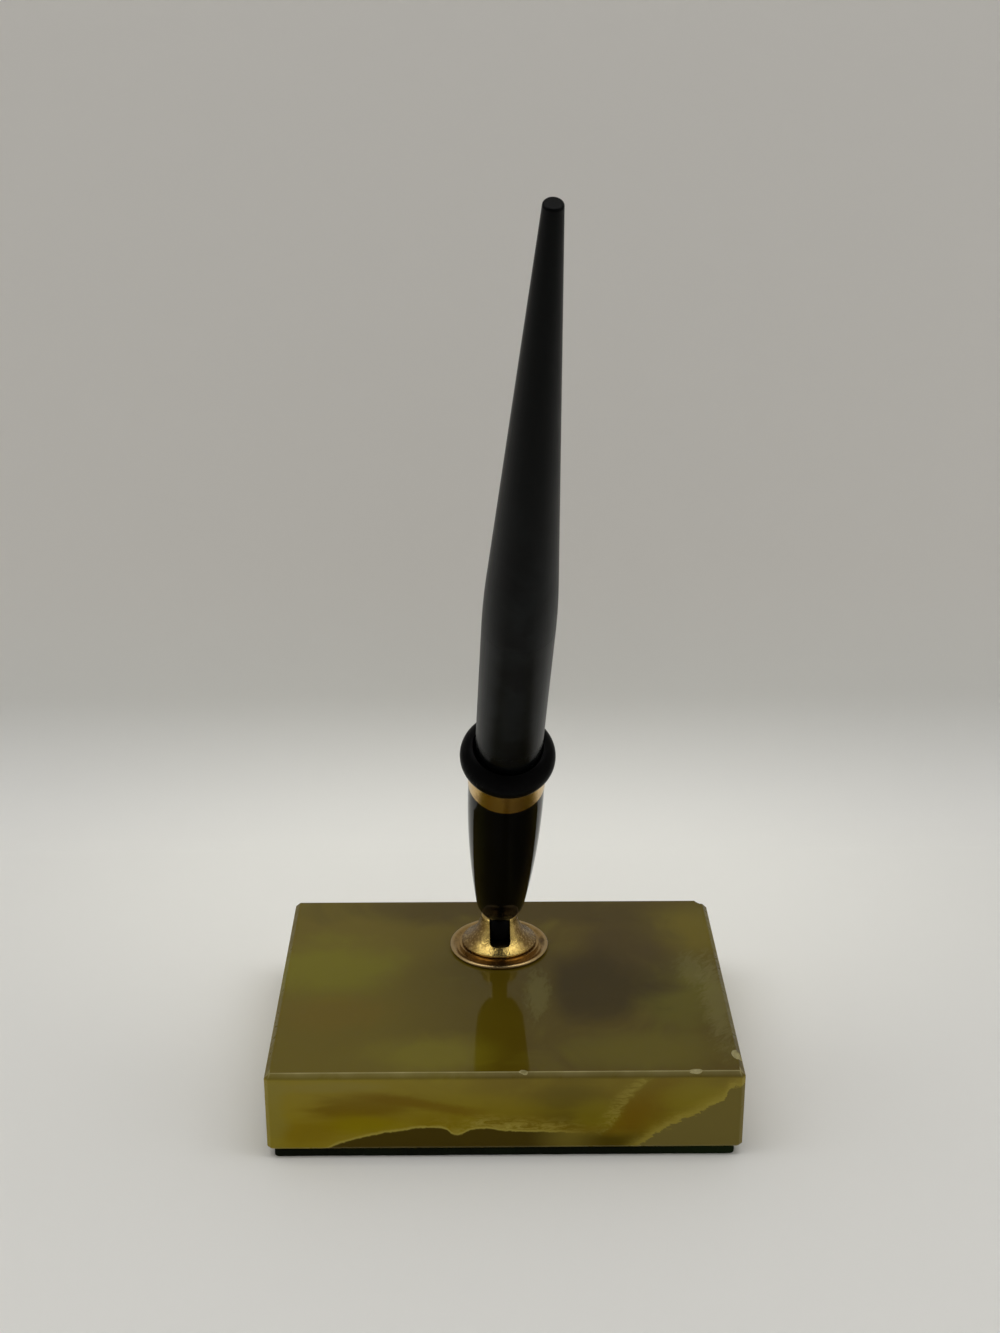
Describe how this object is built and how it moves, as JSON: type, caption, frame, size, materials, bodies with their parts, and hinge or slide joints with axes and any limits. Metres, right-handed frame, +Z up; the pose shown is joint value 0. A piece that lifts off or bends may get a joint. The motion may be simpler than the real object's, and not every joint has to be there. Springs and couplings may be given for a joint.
{
  "type": "pen stand",
  "caption": "Desk pen stand: a bevelled onyx base on felt, a swivel ball socket, a tilting trumpet holder and the tapered desk pen that stands in it.",
  "frame": {"origin": "middle of the felt's underside, on the desk", "axes": "+Z up, -Y towards the writer, +X to the writer's right"},
  "size_m": [0.1016, 0.1412, 0.2089],
  "materials": {
    "onyx": "polished, banded olive and amber stone",
    "felt": "dark green felt",
    "gilt": "gilt, lightly worn",
    "steel": "plain",
    "black_metal": "blackened",
    "black_gloss": "polished black",
    "black_plain": "plain black",
    "rubber": "soft black",
    "aluminium": "drawn tube"
  },
  "bodies": {
    "base": {"onyx_base": "onyx", "felt_pad": "felt", "trim_ring": "gilt", "spring_housing": "gilt", "flat_washer": "steel", "lock_washer": "steel", "fixing_nut": "steel", "disc_springs": "steel", "friction_saucer": "steel"},
    "cup": {"swivel_cup": "gilt", "cup_retainer": "steel"},
    "trumpet": {"swivel_ball": "black_metal", "trumpet_body": "black_gloss", "trumpet_band": "gilt", "trumpet_lip": "black_gloss", "socket_liner": "black_plain", "stem_washer": "steel", "stem_nut": "steel"},
    "pen": {"pen_barrel": "black_gloss", "barrel_seal": "rubber", "grip_section": "black_gloss", "feed": "black_plain", "nib": "gilt", "sac_guard": "aluminium", "ink_sac": "rubber"},
    "filler": {"pen_tail": "black_gloss", "filler_tube": "aluminium", "tail_plug": "black_plain"}
  },
  "joints": [
    {"name": "cup_turn", "type": "hinge", "parent": "base", "child": "cup", "pos_m": [-0.0007, 0.0158, 0.0208], "axis": [0, 0, 1], "continuous": true},
    {"name": "trumpet_tilt", "type": "hinge", "parent": "cup", "child": "trumpet", "pos_m": [-0.0007, 0.0158, 0.0267], "axis": [0.9994, 0.034, 0], "range_deg": [-58, 46]},
    {"name": "pen_lift", "type": "slide", "parent": "trumpet", "child": "pen", "axis": [0.0351, -0.5437, 0.8386], "range_m": [0, 0.07]},
    {"name": "filler_draw", "type": "slide", "parent": "pen", "child": "filler", "axis": [0.0351, -0.5437, 0.8386], "range_m": [0, 0.0315]}
  ]
}
